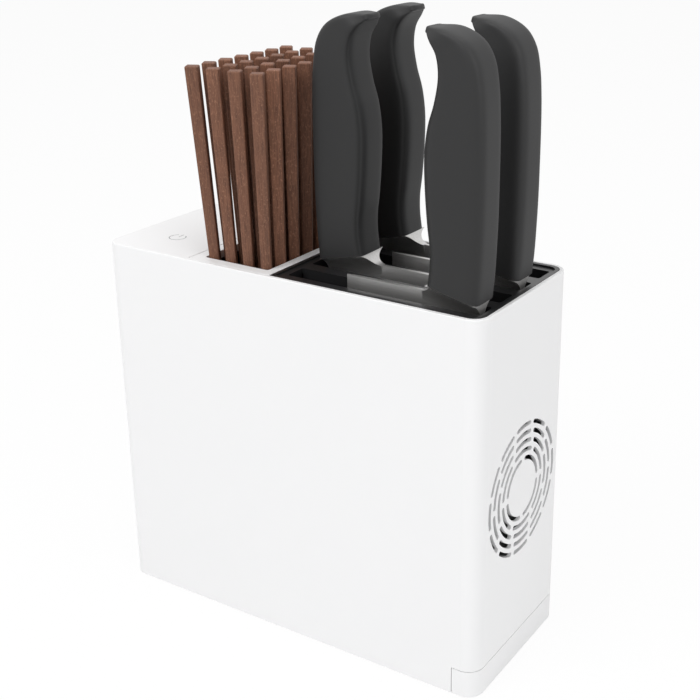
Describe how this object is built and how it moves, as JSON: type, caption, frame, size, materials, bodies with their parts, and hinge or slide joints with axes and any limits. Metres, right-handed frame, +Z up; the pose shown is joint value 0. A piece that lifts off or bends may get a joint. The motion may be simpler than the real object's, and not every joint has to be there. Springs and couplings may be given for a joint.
{
  "type": "knife and chopstick sterilizer box",
  "caption": "White box-shaped sterilizer with a chopstick basket, slotted knife insert, end fan grille and slide-out water tray.",
  "frame": {"origin": "under the middle of the housing, on the surface that the feet stand on", "axes": "+Z up, +X towards the fan end, -Y towards the front face"},
  "size_m": [0.25, 0.1, 0.3585],
  "materials": {
    "white_plastic": "satin, very fine texture",
    "grey_plastic": "matt",
    "black_plastic": "satin to glossy",
    "handle_plastic": "satin",
    "steel": "brushed",
    "screw_steel": "zinc-plated",
    "wood": "fine grain, matt",
    "rubber": "matt",
    "silicone": "matt",
    "fan_plastic": "satin",
    "brass": "turned",
    "copper_winding": "enamelled wire",
    "aluminium": "plain",
    "heater_plastic": "matt",
    "board_green": "solder mask",
    "board_parts": "moulded packages",
    "lamp_glass": "clear quartz",
    "ceramic": "matt",
    "ballast_case": "matt",
    "inlet_plastic": "matt"
  },
  "bodies": {
    "housing": {"housing": "white_plastic", "base_pan": "grey_plastic", "feet": "rubber", "base_screws": "screw_steel", "chassis_screws": "screw_steel", "front_runner": "grey_plastic", "back_runner": "grey_plastic", "chamber_floor": "grey_plastic", "divider": "grey_plastic", "ledge_frame": "grey_plastic", "ledge_screws": "screw_steel", "fan_frame": "fan_plastic", "fan_bearing": "brass", "fan_stator": "copper_winding", "fan_screws": "screw_steel", "heater_core": "aluminium", "heater_frame": "heater_plastic", "heater_screws": "screw_steel", "control_board": "board_green", "control_board_parts": "board_parts", "power_board": "board_green", "power_board_parts": "board_parts", "board_screws": "screw_steel", "touch_board": "board_green", "touch_pad": "silicone", "lower_lamp_holder": "white_plastic", "upper_lamp_holder": "white_plastic", "lamp_caps": "ceramic", "lamp_tubes": "lamp_glass", "lamp_ballast": "ballast_case", "power_inlet": "inlet_plastic", "inlet_pins": "brass"},
    "water_tray": {"water_tray": "grey_plastic", "tray_front": "white_plastic", "tray_screws": "screw_steel"},
    "chopstick_basket": {"basket_rim": "white_plastic", "basket_cage": "black_plastic"},
    "knife_insert": {"insert_deck": "black_plastic", "knife_collar": "black_plastic", "knife_guides": "black_plastic", "knife_cage_floor": "black_plastic", "knife_cage_sides": "black_plastic", "knife_cage_ends": "black_plastic", "knife_rest_pads": "silicone"},
    "fan_rotor": {"fan_rotor": "fan_plastic", "fan_shaft": "steel"},
    "knife_1": {"knife_1_blade": "steel", "knife_1_handle": "handle_plastic"},
    "knife_2": {"knife_2_blade": "steel", "knife_2_handle": "handle_plastic"},
    "knife_3": {"knife_3_blade": "steel", "knife_3_handle": "handle_plastic"},
    "knife_4": {"knife_4_blade": "steel", "knife_4_handle": "handle_plastic"},
    "chopsticks_1": {"chopsticks_1": "wood"},
    "chopsticks_2": {"chopsticks_2": "wood"},
    "chopsticks_3": {"chopsticks_3": "wood"},
    "chopsticks_4": {"chopsticks_4": "wood"}
  },
  "joints": [
    {"name": "water_tray_slide", "type": "slide", "parent": "housing", "child": "water_tray", "axis": [1, 0, 0], "range_m": [0, 0.165]},
    {"name": "basket_lift", "type": "slide", "parent": "housing", "child": "chopstick_basket", "axis": [0, 0, 1], "range_m": [0, 0.15]},
    {"name": "knife_insert_lift", "type": "slide", "parent": "housing", "child": "knife_insert", "axis": [0, 0, 1], "range_m": [0, 0.19]},
    {"name": "fan_spin", "type": "hinge", "parent": "housing", "child": "fan_rotor", "pos_m": [0.117, 0, 0.1078], "axis": [1, 0, 0], "continuous": true},
    {"name": "knife_1_lift", "type": "slide", "parent": "knife_insert", "child": "knife_1", "axis": [0, 0, 1], "range_m": [0, 0.185]},
    {"name": "knife_2_lift", "type": "slide", "parent": "knife_insert", "child": "knife_2", "axis": [0, 0, 1], "range_m": [0, 0.185]},
    {"name": "knife_3_lift", "type": "slide", "parent": "knife_insert", "child": "knife_3", "axis": [0, 0, 1], "range_m": [0, 0.185]},
    {"name": "knife_4_lift", "type": "slide", "parent": "knife_insert", "child": "knife_4", "axis": [0, 0, 1], "range_m": [0, 0.185]},
    {"name": "chopsticks_1_lift", "type": "slide", "parent": "chopstick_basket", "child": "chopsticks_1", "axis": [-0.0582, 0, 0.9983], "range_m": [0, 0.14]},
    {"name": "chopsticks_2_lift", "type": "slide", "parent": "chopstick_basket", "child": "chopsticks_2", "axis": [-0.0307, 0, 0.9995], "range_m": [0, 0.14]},
    {"name": "chopsticks_3_lift", "type": "slide", "parent": "chopstick_basket", "child": "chopsticks_3", "axis": [-0.0031, 0, 1], "range_m": [0, 0.14]},
    {"name": "chopsticks_4_lift", "type": "slide", "parent": "chopstick_basket", "child": "chopsticks_4", "axis": [0.0245, 0, 0.9997], "range_m": [0, 0.14]}
  ]
}
